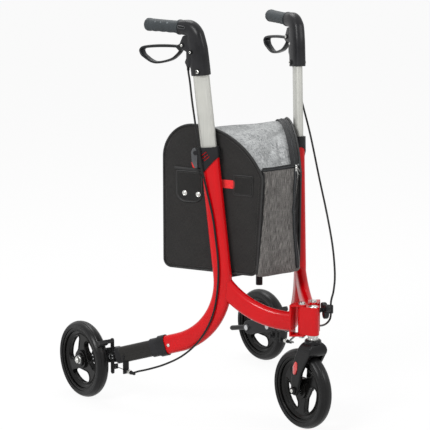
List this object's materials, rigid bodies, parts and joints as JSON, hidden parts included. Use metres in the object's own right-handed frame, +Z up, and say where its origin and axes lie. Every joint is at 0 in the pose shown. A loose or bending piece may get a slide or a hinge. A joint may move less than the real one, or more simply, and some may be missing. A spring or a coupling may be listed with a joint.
{
  "type": "three wheel rollator",
  "caption": "Folding wheeled walking aid with a swivelling front caster, splayed oval-tube sides, height-adjustable brake handles and a fabric bag.",
  "frame": {"origin": "bottom centre of the bounding box, on the floor midway between the front and rear axles", "axes": "+Z up, front faces -Y, the user's right is -X"},
  "size_m": [0.6306, 0.7438, 0.9975],
  "materials": {
    "red_paint": "gloss",
    "silver_tube": "satin",
    "black_tube": "satin",
    "steel": "satin",
    "red_reflector": "gloss",
    "red_plastic": "satin",
    "tyre_rubber": "matt",
    "grip_rubber": "matt",
    "panel_fabric": "matt",
    "lid_fabric": "matt",
    "pocket_fabric": "matt",
    "cable_cover": "satin",
    "black_steel": "satin",
    "black_plastic": "satin"
  },
  "bodies": {
    "head": {"head_post": "red_paint", "stem_bearings": "steel", "hinge_bolts": "steel", "cable_guide": "black_plastic", "bag_body": "lid_fabric", "bag_pocket": "pocket_fabric"},
    "caster": {"caster_fork": "black_plastic", "caster_stem": "silver_tube", "fork_reflectors": "red_reflector", "front_axle": "steel"},
    "front_wheel": {"front_tyre": "tyre_rubber", "front_rim": "black_plastic", "front_bearings": "steel"},
    "right_frame": {"right_main_tube": "red_paint", "right_front_arm": "red_paint", "right_collar": "black_plastic", "right_leg_sleeve": "black_plastic", "right_leg_tube": "black_tube", "right_wheel_arm": "black_plastic", "right_wheel_bolts": "steel", "right_cable_stop": "steel", "right_brake_cable": "cable_cover", "right_bag_panel": "panel_fabric"},
    "right_mast": {"right_inner_tube": "silver_tube", "right_housing": "black_plastic", "right_grip": "grip_rubber", "right_handle_screws": "steel"},
    "right_lever": {"right_brake_lever": "black_plastic"},
    "right_lock": {"right_height_lever": "black_plastic", "right_height_button": "red_plastic"},
    "right_wheel": {"right_tyre": "tyre_rubber", "right_rim": "black_plastic", "right_bearings": "steel"},
    "right_brake": {"right_brake_arm": "black_steel", "right_brake_shoe": "tyre_rubber"},
    "right_brace": {"right_brace_link": "steel"},
    "left_frame": {"left_main_tube": "red_paint", "left_front_arm": "red_paint", "left_collar": "black_plastic", "left_leg_sleeve": "black_plastic", "left_leg_tube": "black_tube", "left_wheel_arm": "black_plastic", "left_wheel_bolts": "steel", "left_cable_stop": "steel", "left_brake_cable": "cable_cover", "left_bag_panel": "panel_fabric"},
    "left_mast": {"left_inner_tube": "silver_tube", "left_housing": "black_plastic", "left_grip": "grip_rubber", "left_handle_screws": "steel"},
    "left_lever": {"left_brake_lever": "black_plastic"},
    "left_lock": {"left_height_lever": "black_plastic", "left_height_button": "red_plastic"},
    "left_wheel": {"left_tyre": "tyre_rubber", "left_rim": "black_plastic", "left_bearings": "steel"},
    "left_brake": {"left_brake_arm": "black_steel", "left_brake_shoe": "tyre_rubber"},
    "left_brace": {"left_brace_link": "steel", "brace_peg": "black_plastic"}
  },
  "joints": [
    {"name": "caster_swivel", "type": "hinge", "parent": "head", "child": "caster", "pos_m": [0, -0.30989, 0.2455], "axis": [0, 0, 1], "continuous": true},
    {"name": "front_wheel_spin", "type": "hinge", "parent": "caster", "child": "front_wheel", "pos_m": [0, -0.27189, 0.1], "axis": [1, 0, 0], "continuous": true},
    {"name": "right_fold", "type": "hinge", "parent": "head", "child": "right_frame", "pos_m": [-0.018, -0.28789, 0.2805], "axis": [0, 0, -1], "range_deg": [0, 19], "deforming": ["bag_body", "bag_pocket"]},
    {"name": "right_height_slide", "type": "slide", "parent": "right_frame", "child": "right_mast", "axis": [-0.0548, 0.103, 0.9932], "range_m": [-0.12, 0.02], "deforming": ["right_brake_cable"]},
    {"name": "right_brake_squeeze", "type": "hinge", "parent": "right_mast", "child": "right_lever", "pos_m": [-0.16385, -0.00653, 0.935], "axis": [0.9744, 0.225, 0], "range_deg": [0, 10], "stiffness_Nm_per_rad": 6},
    {"name": "right_lock_release", "type": "hinge", "parent": "right_frame", "child": "right_lock", "pos_m": [-0.15555, -0.04197, 0.67398], "axis": [0.8829, 0.4695, 0], "range_deg": [0, 45], "stiffness_Nm_per_rad": 0.4},
    {"name": "right_wheel_spin", "type": "hinge", "parent": "right_frame", "child": "right_wheel", "pos_m": [-0.29298, 0.27189, 0.1], "axis": [1, 0, 0], "continuous": true},
    {"name": "right_brake_apply", "type": "hinge", "parent": "right_frame", "child": "right_brake", "pos_m": [-0.25598, 0.18089, 0.1222], "axis": [-1, 0, 0], "range_deg": [0, 3.2]},
    {"name": "right_brace_swing", "type": "hinge", "parent": "right_frame", "child": "right_brace", "pos_m": [-0.10017, -0.09395, 0.362], "axis": [0, 0, 1], "range_deg": [0, 90.54]},
    {"name": "left_fold", "type": "hinge", "parent": "head", "child": "left_frame", "pos_m": [0.018, -0.28789, 0.2805], "axis": [0, 0, 1], "range_deg": [0, 19], "deforming": ["left_brake_cable"]},
    {"name": "left_height_slide", "type": "slide", "parent": "left_frame", "child": "left_mast", "axis": [0.0548, 0.103, 0.9932], "range_m": [-0.12, 0.02], "deforming": ["left_brake_cable"]},
    {"name": "left_brake_squeeze", "type": "hinge", "parent": "left_mast", "child": "left_lever", "pos_m": [0.16385, -0.00653, 0.935], "axis": [0.9744, -0.225, 0], "range_deg": [0, 10], "stiffness_Nm_per_rad": 6},
    {"name": "left_lock_release", "type": "hinge", "parent": "left_frame", "child": "left_lock", "pos_m": [0.15555, -0.04197, 0.67398], "axis": [0.8829, -0.4695, 0], "range_deg": [0, 45], "stiffness_Nm_per_rad": 0.4},
    {"name": "left_wheel_spin", "type": "hinge", "parent": "left_frame", "child": "left_wheel", "pos_m": [0.29298, 0.27189, 0.1], "axis": [1, 0, 0], "continuous": true},
    {"name": "left_brake_apply", "type": "hinge", "parent": "left_frame", "child": "left_brake", "pos_m": [0.25598, 0.18089, 0.1222], "axis": [-1, 0, 0], "range_deg": [0, 3.2]},
    {"name": "left_brace_swing", "type": "hinge", "parent": "left_frame", "child": "left_brace", "pos_m": [0.10017, -0.09395, 0.362], "axis": [0, 0, -1], "range_deg": [0, 90.54]}
  ],
  "couplings": [
    {"joint": "left_fold", "follows": "right_fold", "ratio": 1},
    {"joint": "right_brake_apply", "follows": "right_brake_squeeze", "ratio": 0.3},
    {"joint": "right_brace_swing", "follows": "right_fold", "ratio": 4.7388},
    {"joint": "left_brake_apply", "follows": "left_brake_squeeze", "ratio": 0.3},
    {"joint": "left_brace_swing", "follows": "right_fold", "ratio": 4.7388}
  ]
}
